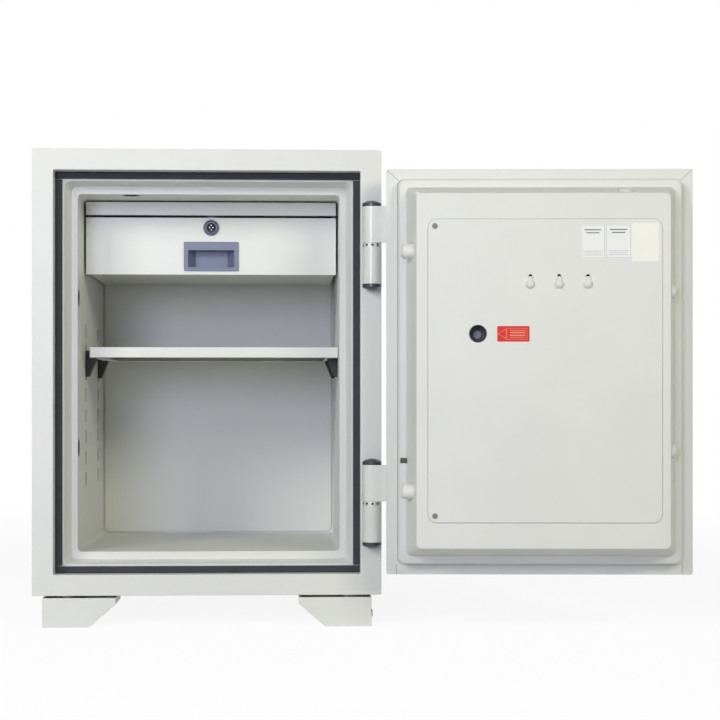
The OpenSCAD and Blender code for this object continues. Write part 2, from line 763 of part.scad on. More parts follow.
// Folded shelf: top sheet with lips and inturned edges, notched round the brackets' upstands
module shelf() {
  t = sheet_t;
  y0 = yf + shelf_y;
  x0 = shelf_x - shelf_w / 2;
  x1 = shelf_x + shelf_w / 2;
  n = bracket_t + 0.5;
  nw = bracket_w + 3;
  color("white") difference() {
    box([x0, y0, shelf_z], [x1, y0 + shelf_d, shelf_z + shelf_t]);
    difference() {
      box([x0 + t, y0 + t, shelf_z + t], [x1 - t, y0 + shelf_d - t, shelf_z + shelf_t - t]);
      for (x = [x0, x1], d = [window_front, window_rear])
        box([x - n - t, yf + d - nw / 2 - t, shelf_z - 1],
            [x + n + t, yf + d + nw / 2 + t, shelf_z + shelf_t]);
    }
    box([x0 + shelf_lip, y0 + shelf_lip, shelf_z - 1],
        [x1 - shelf_lip, y0 + shelf_d - shelf_lip, shelf_z + 2 * t]);
    for (x = [x0, x1], d = [window_front, window_rear])
      box([x - n, yf + d - nw / 2, shelf_z - 1], [x + n, yf + d + nw / 2, shelf_z + shelf_t + 1]);
  }
}

// Wedge brackets, each hooked through a window
module bracket(d) {
  g = 0.2;
  back = -sheet_t - 0.3;
  sill = sill_z + 0.1;
  translate([-open_w / 2, yf + d, shelf_z]) rotate([90, 0, 0]) union() {
    linear_extrude(bracket_w, center = true)
      polygon([[g, -bracket_drop], [bracket_t, -bracket_drop], [bracket_out, -2], [bracket_out, 0],
               [bracket_t, 0], [bracket_t, bracket_up], [g, bracket_up]]);
    linear_extrude(window_w - 2, center = true)
      polygon([[back - tab_t, bracket_up - 3], [back - tab_t, sill - 4], [back, sill - 4], [back, sill],
               [g + 1, sill], [g + 1, bracket_up - 3]]);
  }
}
module shelf_brackets() {
  color("black") for (s = [0, 1], d = [window_front, window_rear])
    mirror([s, 0, 0]) bracket(d);
}

// Outer pan of the door: front sheet, edges, and the flat flange that meets the seals
module door_outer_pan() {
  color("gainsboro") on_door() difference() {
    slab(door_w, door_h, 3, 0, flange_y);
    slab(door_w - 2 * door_t, door_h - 2 * door_t, 1.5, door_t, flange_y - door_t);
    slab(foot_step_w + 0.4, foot_step_h + 0.4, step_r, door_t + 1, flange_y + 1);
    rod_y(spindle_r + 0.6, -1, door_t + 1, -handle_x, zc);
    rod_y(5, -1, door_t + 1, keypad_x, keypad_z);
  }
}

// Fire-resisting fill of the door
module door_insulation() {
  g = fill_gap;
  color("whitesmoke") on_door() difference() {
    union() {
      slab(door_w - 2 * door_t - 2 * g, door_h - 2 * door_t - 2 * g, 1.5, door_t + g, flange_y - door_t - g);
      slab(plug_w - 14, plug_hh - 14, 6, door_t + g, plate_y - eps);
      slab(top_step_w - 2 * pan_t - 4, top_step_h - 2 * pan_t - 4, 6, door_t + g, step_y - pan_t - g);
    }
    rod_y(spindle_r + 2, -1, plate_y + 1, -handle_x, zc);
    rod_y(5, -1, plate_y + 1, keypad_x, keypad_z);
  }
}

// Stepped inner pan: rounded first step, ledge and tapered plug, with a window under the cover
module door_plug_pan() {
  t = pan_t;
  e = 2.2;
  mid_w = face_w + 2 * plug_draft * e / plug_h;
  mid_h = face_h + 2 * plug_draft * e / plug_h;
  lean = 2 * t;
  color("gainsboro") on_door() difference() {
    union() {
      taper(foot_step_w, foot_step_h, step_r, flange_y - door_t, top_step_w + 0.4, top_step_h + 0.4, step_r,
            step_y - e);
      taper(top_step_w + 0.4, top_step_h + 0.4, step_r, step_y - e, top_step_w - 2 * e, top_step_h - 2 * e,
            step_r - 1, step_y);
      taper(plug_w, plug_hh, plug_r, step_y - eps, mid_w, mid_h, plug_r, face_y - e);
      taper(mid_w, mid_h, plug_r, face_y - e, face_w - 1.6, face_h - 1.6, plug_r, face_y);
    }
    taper(foot_step_w - lean, foot_step_h - lean, step_r - 1, flange_y - door_t - 1,
          top_step_w - lean - 2, top_step_h - lean - 2, step_r - 1, step_y - t);
    taper(plug_w - lean, plug_hh - lean, plug_r - 1, step_y - t - eps,
          face_w - lean, face_h - lean, plug_r - 1, face_y - t);
    slab(plug_w - 2 * lean, plug_hh - 2 * lean, plug_r - 1, step_y - t - 1, step_y - t + 1);
    slab(cover_w - 2 * cover_lap, cover_h - 2 * cover_lap, 6, face_y - 5, face_y + 1, -cover_off);
    for (s = [-1, 1]) {
      rod_x(bolt_r + hole_gap, -wall_x - 12, -wall_x + 12, bolt_y, zc + s * live_z);
      rod_x(bolt_r + 0.1, wall_x - 12, wall_x + 12, bolt_y, zc + s * fixed_z);
      rod_y(2.05, face_y - 5, face_y + 1, screw_x, zc + s * screw_z);
    }
    rod_z(bolt_r + hole_gap, zc + wall_z - 12, zc + wall_z + 12, -top_x, bolt_y);
    box([plug_w / 2 - 4, yf + step_y - t - 1, zc - slot_down - slot_h],
        [plug_w / 2 + slot_out, yf + step_y + slot_up, zc - slot_down]);
  }
}

// Bottle shape of a key hook, drawn in by t: round below, with a shoulder and a neck above
module bottle(t) {
  mid = hook_r - hook_len;
  translate([0, 0, mid]) sphere(r = hook_r - t);
  translate([0, 0, mid]) cylinder(r = hook_r - t, h = 1.5);
  translate([0, 0, mid + 1.5]) cylinder(r1 = hook_r - t, r2 = hook_top_r - t, h = -hook_neck - mid - 1.5);
  translate([0, 0, -hook_neck]) cylinder(r = hook_top_r - t, h = hook_neck + t);
}

// One pressed key hook: a half-round pocket, open at its neck
module hook() {
  intersection() {
    translate([-hook_r - 1, -0.5, -hook_len - 1]) cube([2 * hook_r + 2, hook_r + 2, hook_len + 1]);
    difference() {
      bottle(0);
      bottle(sheet_t);
    }
  }
}

// Inner cover with the key hooks and the hole for the button's well
module door_inner_cover() {
  color("gainsboro") on_door() union() {
    difference() {
      slab(cover_w, cover_h, cover_r, face_y, face_y + sheet_t, -cover_off);
      rod_y(well_r + 1.2, face_y - 1, face_y + 3, button_x, zc + button_z);
      for (s = [-1, 1])
        rod_y(2.1, face_y - 1, face_y + 3, screw_x, zc + s * screw_z);
      for (k = [-1 : 1])
        slab(4.8, 6, 2.3, face_y - 1, face_y + 3, -hook_x + k * hook_pitch, zc + hook_z);
    }
    for (k = [-1 : 1])
      translate([-hook_x + k * hook_pitch, yf + face_y + sheet_t, zc + hook_z]) hook();
  }
}
module cover_screws() {
  color("silver") on_door() for (s = [-1, 1]) {
    z = zc + s * screw_z;
    rod_y(1.9, face_y - 4, face_y + sheet_t, screw_x, z);
    translate([screw_x, yf + face_y + sheet_t, z]) rotate([-90, 0, 0]) cylinder(r1 = 3.7, r2 = 2.9, h = 1.6);
  }
}

// Fixed bolts on the hinge side
module fixed_bolts() {
  color("white") on_door() for (s = [-1, 1]) {
    rod_x(bolt_r, wall_x - 10, wall_x + fixed_out - bolt_chamfer, bolt_y, zc + s * fixed_z);
    translate([wall_x + fixed_out - bolt_chamfer, yf + bolt_y, zc + s * fixed_z]) rotate([0, 90, 0])
      cylinder(r1 = bolt_r, r2 = bolt_r - bolt_chamfer, h = bolt_chamfer);
  }
}

// Upper knuckle of one hinge with the strap that is welded on the door's front
module door_knuckle(z) {
  z0 = z + bearing_h / 2;
  edge = door_w / 2;
  difference() {
    union() {
      translate([hx, hy, z0]) cylinder(r = barrel_r, h = knuckle_h);
      box([edge - strap_len, yf - 0.8 - strap_t, z0], [hx, yf - 0.8, z0 + knuckle_h]);
      box([edge - strap_len, yf - 1, z0], [edge - 2, yf, z0 + knuckle_h]);
    }
    translate([hx, hy, z0 - 1]) cylinder(r = pin_r + run_gap, h = knuckle_h + 2);
  }
}
module hinge_door_knuckle_upper() {
  color("lightgray") on_door() door_knuckle(hinge_mid + hinge_z);
}
module hinge_door_knuckle_lower() {
  color("lightgray") on_door() door_knuckle(hinge_mid - hinge_z);
}
module hinge_top_caps() {
  color("darkslategray") on_door() for (s = [-1, 1])
    translate([hx, hy, hinge_mid + s * hinge_z + bearing_h / 2 + knuckle_h]) cap();
}

// Plate that carries the boltwork, with the spindle's bush
module mechanism_plate() {
  color("silver") on_door() difference() {
    union() {
      slab(plug_w - 2 * plug_gap - 18, plug_hh - 2 * plug_gap - 18, 8, plate_y, plate_y + plate_t);
      rod_y(spindle_r + 4, plate_y, plate_y + plate_t + 3, -handle_x, zc);
    }
    rod_y(spindle_r + run_gap, plate_y - 1, plate_y + plate_t + 9, -handle_x, zc);
    rod_y(5, plate_y - 1, plate_y + plate_t + 1, keypad_x, keypad_z);
  }
}

// Guides that the live bolts slide in
module bolt_guides() {
  y0 = yf + plate_y + plate_t;
  y1 = yf + bolt_y + bolt_r + 2;
  h = bolt_r + 4;
  color("gray") on_door() {
    for (s = [-1, 1]) difference() {
      box([-wall_x + 5.5, y0, zc + s * live_z - h], [-wall_x + 11.5, y1, zc + s * live_z + h]);
      rod_x(bolt_r + run_gap, -wall_x, -wall_x + 24, bolt_y, zc + s * live_z);
    }
    difference() {
      box([-top_x - h, y0, zc + wall_z - 11.5], [-top_x + h, y1, zc + wall_z - 5.5]);
      rod_z(bolt_r + run_gap, zc + wall_z - 24, zc + wall_z, -top_x, bolt_y);
    }
  }
}

// Electronic lock behind the well, with the pocket for the button
module lock_case() {
  color("dimgray") on_door() difference() {
    slab(case_w, case_h, 3, case_y, well_y - 0.02, button_x, zc + button_z - case_h / 9);
    rod_y(button_r + 0.4, case_y + 1, well_y + 1, button_x, zc + button_z);
  }
}
module button_well() {
  color("black") on_door() difference() {
    rod_y(well_r + 1, well_y, face_y + sheet_t, button_x, zc + button_z);
    rod_y(well_r, well_y + 1.5, face_y + sheet_t + 1, button_x, zc + button_z);
    rod_y(button_r + 0.3, well_y - 1, well_y + 2, button_x, zc + button_z);
  }
}
module reset_button() {
  color("gray") on_door() union() {
    rod_y(button_r, case_y + 1 + button_throw + 0.5, well_y + 2, button_x, zc + button_z);
    translate([button_x, yf + well_y + 2, zc + button_z]) rotate([-90, 0, 0])
      cylinder(r1 = button_r, r2 = button_r - 0.6, h = 0.6);
  }
}

// Rose on the door's front that the lever turns in
module handle_rose() {
  color("silver") on_door() difference() {
    union() {
      rod_y(rose_r, 2 - rose_t, 0, -handle_x, zc);
      translate([-handle_x, yf + 2 - rose_t, zc]) rotate([90, 0, 0])
        cylinder(r1 = rose_r, r2 = rose_r - 2, h = 2);
    }
    rod_y(hub_r + 0.3, -rose_t - 1, -2, -handle_x, zc);
    rod_y(spindle_r + 0.6, -3, 1, -handle_x, zc);
  }
}

// Lever, hanging down with the bolts drawn in
module handle_lever() {
  color("silver") on_door() difference() {
    union() {
      rod_y(hub_r, 10 - lever_out, -2.3, -handle_x, zc);
      hull() {
        rod_y(hub_r, 2 - lever_out, 11 - lever_out, -handle_x, zc, $fn = 32);
        rod_y(tip_r, 2 - lever_out, 9 - lever_out, -handle_x, zc - lever_len, $fn = 32);
      }
      hull() {
        rod_y(hub_r - 2, -lever_out, 3 - lever_out, -handle_x, zc, $fn = 32);
        rod_y(tip_r - 2, -lever_out, 3 - lever_out, -handle_x, zc - lever_len, $fn = 32);
      }
    }
    rod_y(spindle_r + 0.02, 14 - lever_out, -1, -handle_x, zc);
  }
}

// Spindle with the cam; the pins point back at 45 degrees below the level in the drawn-in position
module handle_spindle() {
  c = crank_r * cos(45);
  color("silver") on_door() union() {
    rod_y(spindle_r, 14.5 - lever_out, cam_y + 1, -handle_x, zc);
    rod_y(crank_r + crank_pin_r + 4, cam_y, cam_y + cam_t, -handle_x, zc);
    rod_y(crank_pin_r, cam_y + 1, arm_y + arm_t + 0.5, -handle_x + c, zc - c);
    rod_y(crank_pin_r, cam_y + 1, rod_y + rod_t + 0.5, -handle_x - c, zc - c);
  }
}

// Carrier of the live bolts: upright bar, arm below the cam, and an upright finger with the pin's slot
module bolt_carrier() {
  c = crank_r * cos(45);
  s = crank_pin_r + pin_play;
  x = -handle_x + c;
  color("silver") on_door() difference() {
    union() {
      box([-bar_x, yf + arm_y, zc - live_z - bar_past],
          [-bar_x + bar_t, yf + bolt_y + bolt_r, zc + live_z + bar_past]);
      box([-bar_x, yf + arm_y, zc - arm_low], [x + finger_w / 2, yf + arm_y + arm_t, zc - arm_low + arm_w]);
      box([x - finger_w / 2, yf + arm_y, zc - arm_low], [x + finger_w / 2, yf + arm_y + arm_t, zc - c + 6]);
    }
    box([x - s, yf + arm_y - 1, zc - crank_r - s - 1], [x + s, yf + arm_y + arm_t + 1, zc]);
  }
}
module live_bolts() {
  color("white") on_door() for (s = [-1, 1]) {
    rod_x(bolt_r, -wall_x - bolt_stand + bolt_chamfer, -bar_x, bolt_y, zc + s * live_z);
    translate([-wall_x - bolt_stand, yf + bolt_y, zc + s * live_z]) rotate([0, 90, 0])
      cylinder(r1 = bolt_r - bolt_chamfer, r2 = bolt_r, h = bolt_chamfer);
  }
}

// Top bolt on its rod, with a slotted arm over the cam's second pin
module top_bolt() {
  c = crank_r * cos(45);
  s = crank_pin_r + pin_play;
  z = zc - c;
  x0 = -top_x - rod_w / 2;
  x1 = -handle_x - c + s;
  y0 = yf + rod_y;
  z1 = zc + wall_z + top_stand - bolt_chamfer;
  color("white") on_door() difference() {
    union() {
      rod_z(bolt_r, zc + wall_z - 34, z1, -top_x, bolt_y);
      translate([-top_x, yf + bolt_y, z1])
        cylinder(r1 = bolt_r, r2 = bolt_r - bolt_chamfer, h = bolt_chamfer);
      box([x0, y0, z - arm_w / 2], [x0 + rod_w, y0 + rod_t, zc + wall_z - 30]);
      box([x0, y0, z - arm_w / 2], [x1 + 5, y0 + rod_t, z + arm_w / 2]);
    }
    box([-handle_x - crank_r - s - 1, y0 - 1, z - s], [x1 + 1, y0 + rod_t + 1, z + s]);
  }
}

// Keypad on the door's front, with a pocket for each key
function key_pos(i) = [keypad_x + (i % 3 - 1) * key_pitch_x, keypad_z + (1.5 - floor(i / 3)) * key_pitch_z];
module keypad_housing() {
  color("black") on_door() difference() {
    slab(keypad_w, keypad_h, 8, -keypad_t, 0, keypad_x, keypad_z);
    for (i = [0 : 11])
      slab(key_w + 0.6, key_h + 0.6, 2.3, -keypad_t - 1, -3.5, key_pos(i)[0], key_pos(i)[1]);
  }
}
module key(i) {
  color("dimgray") on_door()
    slab(key_w, key_h, 2, -keypad_t - 1.5, -3.8 - key_throw, key_pos(i)[0], key_pos(i)[1]);
}

// Hole through the drawer front and the tray's front wall for the body of the finger pull
module pull_hole() {
  x = recess_w / 2 + 2;
  box([-x, yf + unit_y - 1, pull_rz - 2], [x, yf + unit_y + 4, pull_rz + recess_h + 2]);
}

// Tray of the drawer
module drawer_tray() {
  t = sheet_t;
  color("whitesmoke") difference() {
    box([-tray_w / 2, yf + tray_y, tray_z], [tray_w / 2, yf + tray_y + tray_d, tray_z + tray_h]);
    box([-tray_w / 2 + t, yf + tray_y + t, tray_z + t],
        [tray_w / 2 - t, yf + tray_y + tray_d - t, tray_z + tray_h + 1]);
    pull_hole();
  }
}

// Drawer front: flat sheet with short edges turned back
module drawer_front() {
  color("white") difference() {
    box([-front_w / 2, yf + unit_y, front_bot], [front_w / 2, yf + unit_y + 6, front_top]);
    box([-front_w / 2 + front_t, yf + unit_y + front_t, front_bot + front_t],
        [front_w / 2 - front_t, yf + unit_y + 7, front_top - front_t]);
    pull_hole();
    rod_y(lock_body_r + 0.1, unit_y - 1, unit_y + 3, 0, lock_z);
  }
}

// Recessed finger pull
module drawer_pull() {
  color("slategray") difference() {
    union() {
      slab(pull_w, pull_h, 1.5, unit_y - 2, unit_y, 0, pull_z + pull_h / 2);
      slab(recess_w + 3, recess_h + 3, 1.5, unit_y - 1, unit_y + pull_d + 0.5, 0, pull_rz + recess_h / 2);
    }
    translate([0, yf + unit_y, pull_rz]) linear_extrude(recess_h)
      polygon([[-recess_w / 2, -3], [recess_w / 2, -3], [recess_w / 2, 0],
               [recess_w / 2 - recess_slope, pull_d - 1], [recess_slope - recess_w / 2, pull_d - 1],
               [-recess_w / 2, 0]]);
  }
}

// Drawer lock: ring and barrel
module drawer_lock_barrel() {
  color("silver") difference() {
    union() {
      translate([0, yf + unit_y, lock_z]) rotate([90, 0, 0]) rotate_extrude()
        polygon([[rotor_r, 0], [lock_ring_r, 0], [lock_ring_r, 0.9], [lock_ring_r - 0.8, 1.9],
                 [lock_ring_r - 1.9, 1.9], [lock_ring_r - 2.5, 0.9], [rotor_r + 1.2, 2.5],
                 [rotor_r, 2.5]]);
      rod_y(lock_body_r, unit_y - 1, unit_y + front_t + lock_len - 1.5, 0, lock_z);
    }
    rod_y(rotor_r + run_gap, unit_y - 3, unit_y + lock_len + 3, 0, lock_z);
  }
}

// Rotor with its keyway, and the cam behind, lying level while unlocked
module drawer_lock_rotor() {
  back = unit_y + front_t + lock_len;
  color("dimgray") difference() {
    union() {
      rod_y(rotor_r, unit_y - 2, back + 1, 0, lock_z);
      rod_y(6, back, back + 2, 0, lock_z);
      box([0, yf + back, lock_z - 5], [cam_len, yf + back + 2, lock_z + 5]);
    }
    box([-0.8, yf + unit_y - 3, lock_z - 4], [0.8, yf + unit_y + 6, lock_z + 4]);
  }
}

place() body_shell();
place() back_plate();
place() body_insulation();
place() jamb_frame();
place() inner_liner();
place() liner_back_panel();
place() seal_horizontal();
place() seal_vertical();
place() front_feet();
place() rear_feet();
place() foot_posts();
place() foot_bolts();
place() hinge_body_knuckle_upper();
place() hinge_body_knuckle_lower();
place() hinge_pins();
place() hinge_bearings();
place() hinge_bottom_caps();
place() drawer_cabinet();
place() cabinet_screws();
place() shelf();
place() shelf_brackets();
place() door_outer_pan();
place() door_insulation();
place() door_plug_pan();
place() door_inner_cover();
place() cover_screws();
place() fixed_bolts();
place() hinge_door_knuckle_upper();
place() hinge_door_knuckle_lower();
place() hinge_top_caps();
place() mechanism_plate();
place() bolt_guides();
place() lock_case();
place() button_well();
place() handle_rose();
place() keypad_housing();
place() handle_lever();
place() handle_spindle();
place() bolt_carrier();
place() live_bolts();
place() top_bolt();
place() reset_button();
place() drawer_tray();
place() drawer_front();
place() drawer_pull();
place() drawer_lock_barrel();
place() drawer_lock_rotor();
place() key(0);  // key_1
place() key(1);  // key_2
place() key(2);  // key_3
place() key(3);  // key_4
place() key(4);  // key_5
place() key(5);  // key_6
place() key(6);  // key_7
place() key(7);  // key_8
place() key(8);  // key_9
place() key(9);  // key_star
place() key(10);  // key_0
place() key(11);  // key_hash
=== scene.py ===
import bpy
import json
import math
from mathutils import Matrix, Vector


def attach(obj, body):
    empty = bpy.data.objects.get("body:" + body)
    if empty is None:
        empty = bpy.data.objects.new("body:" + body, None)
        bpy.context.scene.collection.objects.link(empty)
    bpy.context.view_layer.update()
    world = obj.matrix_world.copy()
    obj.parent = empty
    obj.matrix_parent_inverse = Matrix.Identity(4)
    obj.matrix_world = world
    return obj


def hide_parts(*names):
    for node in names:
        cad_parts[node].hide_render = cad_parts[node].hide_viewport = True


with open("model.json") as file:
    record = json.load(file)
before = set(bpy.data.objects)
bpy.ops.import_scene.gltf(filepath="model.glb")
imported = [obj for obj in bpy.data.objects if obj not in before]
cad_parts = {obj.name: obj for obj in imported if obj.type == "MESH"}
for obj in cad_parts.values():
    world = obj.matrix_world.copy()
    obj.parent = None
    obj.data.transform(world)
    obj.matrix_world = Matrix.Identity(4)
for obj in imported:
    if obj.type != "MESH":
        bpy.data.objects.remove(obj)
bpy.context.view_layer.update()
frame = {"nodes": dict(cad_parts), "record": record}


# Studio
# A white sweep with a pale floor, as a product is photographed for a catalogue. Two soft keys stand
# above the safe, a cool fill stands beside the camera, and a broad lamp stands behind.
def linear(code):
    """A colour written as sRGB hex, as the linear numbers that a shader takes."""
    parts = [int(code[i:i + 2], 16) / 255 for i in (1, 3, 5)]
    return tuple(c / 12.92 if c <= 0.04045 else ((c + 0.055) / 1.055) ** 2.4 for c in parts) + (1.0,)


def node(tree, kind, settings=(), inputs=()):
    """Adds one node with its settings; an input takes a plain value or another node's output."""
    made = tree.nodes.new("ShaderNode" + kind)
    for name, value in dict(settings).items():
        setattr(made, name, value)
    for name, value in dict(inputs).items():
        if isinstance(value, bpy.types.NodeSocket):
            tree.links.new(value, made.inputs[name])
        else:
            made.inputs[name].default_value = value
    return made


def blank_tree(owner):
    """Empties an owner's node tree, ready for its own nodes."""
    owner.use_nodes = True
    owner.node_tree.nodes.clear()
    return owner.node_tree


def seen_directly(tree):
    """1 where a ray comes from the camera, a mirror-like surface or through glass, else 0."""
    path = node(tree, "LightPath").outputs
    seen = path["Is Camera Ray"]
    for other in ("Is Glossy Ray", "Is Transmission Ray"):
        seen = node(tree, "Math", {"operation": "MAXIMUM"}, {0: seen, 1: path[other]}).outputs[0]
    return seen


def settled(name, scale=(1, 1, 1)):
    """Names and sizes the piece just made, and keeps its place and turn in its mesh."""
    piece = bpy.context.object
    piece.name = name
    piece.scale = scale
    bpy.ops.object.transform_apply(location=True, rotation=True, scale=True)
    return piece


# The sweep shows as white, but throws only a faint light on the safe: the lamps do the work
sweep = bpy.data.worlds.new("white_sweep")
bpy.context.scene.world = sweep
tree = blank_tree(sweep)
shown = node(tree, "Background", {}, {"Color": (1, 1, 1, 1), "Strength": 1.0})
thrown = node(tree, "Background", {}, {"Color": linear("#F4F6FB"), "Strength": 0.05})
either = node(tree, "MixShader", {}, {"Fac": seen_directly(tree), 1: thrown.outputs[0], 2: shown.outputs[0]})
node(tree, "OutputWorld", {}, {"Surface": either.outputs[0]})

# Pale studio floor: matt paint that keeps the safe's shadow, lifted towards white where it is seen.
# The lift is full from 3 m away on, so that no horizon shows.
lift_near, near, far = 0.9, 1.2, 3.0
floor_finish = bpy.data.materials.new("pale_studio_floor")
tree = blank_tree(floor_finish)
paint = node(tree, "BsdfDiffuse", {}, {"Color": linear("#EDEDED"), "Roughness": 1.0})
lift = node(tree, "Emission", {}, {"Color": (1, 1, 1, 1), "Strength": 1.0})
away = node(tree, "VectorMath", {"operation": "LENGTH"}, {0: node(tree, "TexCoord").outputs["Object"]})
share = node(tree, "MapRange", {}, {"Value": away.outputs["Value"], "From Min": near, "From Max": far,
                                    "To Min": lift_near, "To Max": 1.0})
lifted = node(tree, "Math", {"operation": "MULTIPLY"}, {0: seen_directly(tree), 1: share.outputs[0]})
both = node(tree, "MixShader", {}, {"Fac": lifted.outputs[0], 1: paint.outputs[0], 2: lift.outputs[0]})
node(tree, "OutputMaterial", {}, {"Surface": both.outputs[0]})
bpy.ops.mesh.primitive_plane_add(size=24, location=(0.2, 2.0, 0))
studio_floor = settled("studio_floor")
studio_floor.data.materials.append(floor_finish)


def soft_box(name, place, aim, side, watts, colour):
    """A square soft box that faces a point."""
    bpy.ops.object.light_add(type="AREA", location=place)
    lamp = bpy.context.object
    lamp.name = name
    lamp.data.shape = "SQUARE"
    lamp.data.size = side
    lamp.data.energy = watts
    lamp.data.color = linear(colour)[:3]
    lamp.rotation_euler = (Vector(aim) - Vector(place)).to_track_quat("-Z", "Y").to_euler()


# The keys stand so high that the plug shades the door's lower flange and the body's right stile;
# the fill lights the liner under its ceiling, and the lamp behind keeps the back from going dark
safe_middle = (0.2, 0.1, 0.35)
soft_box("left_key_box", (-1.92, -2.93, 2.00), safe_middle, side=1.05, watts=60, colour="#FFFDF4")
soft_box("right_key_box", (2.32, -2.93, 2.00), safe_middle, side=1.05, watts=46, colour="#FFFDE6")
soft_box("low_fill_box", (-0.63, -3.82, 0.91), safe_middle, side=1.05, watts=46, colour="#DCE1FF")
soft_box("back_fill_box", (-0.6, 3.2, 2.3), (0.2, 0.4, 0.35), side=1.6, watts=50, colour="#F7F9FF")

# The camera stands 2.5 m before the safe at half its height, level, and looks a little to the right
bpy.ops.object.camera_add(location=(0.3077, -2.5405, 0.3108),
                          rotation=(math.radians(90), 0, math.radians(-2.289)))
camera = bpy.context.object
camera.name = "product_camera"
camera.data.lens = 90
camera.data.sensor_width = 36
camera.data.shift_y = 0.0594
camera.data.clip_end = 60
bpy.context.scene.camera = camera
bpy.context.scene.view_settings.view_transform = "Standard"


# Outer shell, back plate and fill
# The shell is 2 mm steel sheet folded into wrap, front frame and seal ledge, welded and ground,
# then sprayed with ivory polyester powder and stoved. The back plate is spot-welded in behind,
# and the fill, a light mineral concrete that gives off steam in a fire, is poured through it.
def new_finish(name):
    """A new material, its empty node tree, and the output that gives a point's place in metres."""
    finish = bpy.data.materials.new(name)
    tree = blank_tree(finish)
    return finish, tree, node(tree, "TexCoord").outputs["Object"]


def clouds(tree, place, per_metre, detail, roughness=0.5):
    """A soft noise pattern with so many clouds to the metre."""
    return node(tree, "TexNoise", {}, {"Vector": place, "Scale": per_metre, "Detail": detail,
                                       "Roughness": roughness}).outputs["Fac"]


def two_tones(tree, amount, low, high, ends=(0.0, 1.0)):
    """A colour that goes from one tone to another as the amount passes between two ends."""
    ramp = node(tree, "ValToRGB", {}, {"Fac": amount})
    for stop, end, code in zip(ramp.color_ramp.elements, ends, (low, high)):
        stop.position = end
        stop.color = linear(code)
    return ramp.outputs[0]


def round_edge(tree, radius):
    """Edges that look rounded by a radius."""
    return node(tree, "Bevel", {"samples": 6}, {"Radius": radius}).outputs[0]


def marked_skin(tree, marks, strength, depth, radius):
    """Rounded edges, and marks of some depth in the face."""
    return node(tree, "Bump", {}, {"Strength": strength, "Distance": depth, "Height": marks,
                                   "Normal": round_edge(tree, radius)}).outputs[0]


def surface(tree, inputs):
    """Ends a finish with its one surface shader."""
    node(tree, "OutputMaterial", {}, {"Surface": node(tree, "BsdfPrincipled", {}, inputs).outputs[0]})


def powder_coat(name, colour, shade, roughness=0.42):
    """Stoved powder paint on steel sheet: even colour, a soft sheen and a fine orange peel.
    The real peel is about 2 mm across; it is drawn at 4 mm so that it shows at this distance."""
    finish, tree, place = new_finish(name)
    # The colour drifts by a hair over a hand's width, as film thickness does
    drift = clouds(tree, place, per_metre=9.0, detail=3.0)
    peel = clouds(tree, place, per_metre=250.0, detail=2.0, roughness=0.45)
    # A sheet that is bent over a 1 mm radius never has a sharp edge, and the paint rounds it more
    surface(tree, {"Base Color": two_tones(tree, drift, shade, colour, (0.3, 0.7)),
                   "Roughness": roughness, "IOR": 1.5,
                   "Normal": marked_skin(tree, peel, strength=0.10, depth=0.0004, radius=0.0012)})
    return finish


def dress(finish, *names):
    """Gives CAD nodes their finish."""
    for name in names:
        mesh = frame["nodes"][name].data
        mesh.materials.clear()
        mesh.materials.append(finish)


ivory_powder_coat = powder_coat("ivory_powder_coat", "#E4E5DF", "#E0E1DB")
dress(ivory_powder_coat, "body_shell", "back_plate")

# Soft clouds of damp in the casting, with pores of 1 to 4 mm
mineral_fill, tree, place = new_finish("cast_mineral_fill")
damp = clouds(tree, place, per_metre=18.0, detail=5.0)
pores = node(tree, "TexVoronoi", {"feature": "F1"}, {"Vector": place, "Scale": 300.0}).outputs["Distance"]
pitted = node(tree, "Bump", {}, {"Strength": 0.5, "Distance": 0.001, "Height": pores})
surface(tree, {"Base Color": two_tones(tree, damp, "#5E564B", "#7B7265"), "Roughness": 0.92,
               "Normal": pitted.outputs[0]})
dress(mineral_fill, "body_insulation")


# Jamb, liner and back panel
# Thin sheet boxes set into the fill before it cures: a tapered jamb behind the seal ledge, a liner
# with punched windows down both sides, and a loose back panel with rounded corners held off it
# on dimples. All are powder-coated, the liner and panel a shade greyer than the shell.
liner_powder_coat = powder_coat("liner_powder_coat", "#E2E3DE", "#DEDFDA", roughness=0.45)
dress(liner_powder_coat, "inner_liner", "liner_back_panel")
dress(ivory_powder_coat, "jamb_frame")


# Seal strips
# Intumescent strips, 9 mm wide, glued on the ledge round the opening: full width at the top and
# bottom, butted between them at the sides. They swell in a fire. Dark slate rubber skin, extruded.
seal_rubber, tree, place = new_finish("extruded_seal_rubber")
# Cloth-like grain of the carrier, drawn at 3 mm, and a dusty bloom
grain = clouds(tree, place, per_metre=340.0, detail=3.0)
bloom = clouds(tree, place, per_metre=22.0, detail=2.0)
surface(tree, {"Base Color": two_tones(tree, bloom, "#1F2027", "#31343F"), "Roughness": 0.68,
               "Normal": marked_skin(tree, grain, strength=0.25, depth=0.0005, radius=0.0015)})
dress(seal_rubber, "seal_horizontal", "seal_vertical")


# Feet
# Four troughs folded from 2.5 mm plate with the inner lower corner cut off, painted with the shell.
# Each is held by a zinc-plated cross bolt to a turned post that carries the body.
def bare_metal(name, colour, shade, roughness, grain_size, stretch=(1, 1, 1)):
    """Bright or plated metal with the fine marks of its making, which a stretch can draw out.
    grain_size is in metres; the real marks are finer and are drawn as coarse as they need to show."""
    finish, tree, place = new_finish(name)
    drawn = node(tree, "Mapping", {}, {"Vector": place, "Scale": stretch}).outputs[0]
    marks = clouds(tree, drawn, per_metre=1 / grain_size, detail=4.0)
    sheen = node(tree, "MapRange", {}, {"Value": marks, "To Min": roughness - 0.06,
                                        "To Max": roughness + 0.06})
    surface(tree, {"Base Color": two_tones(tree, marks, shade, colour), "Metallic": 1.0,
                   "Roughness": sheen.outputs[0],
                   "Normal": marked_skin(tree, marks, strength=0.12, depth=0.0002, radius=0.0004)})
    return finish


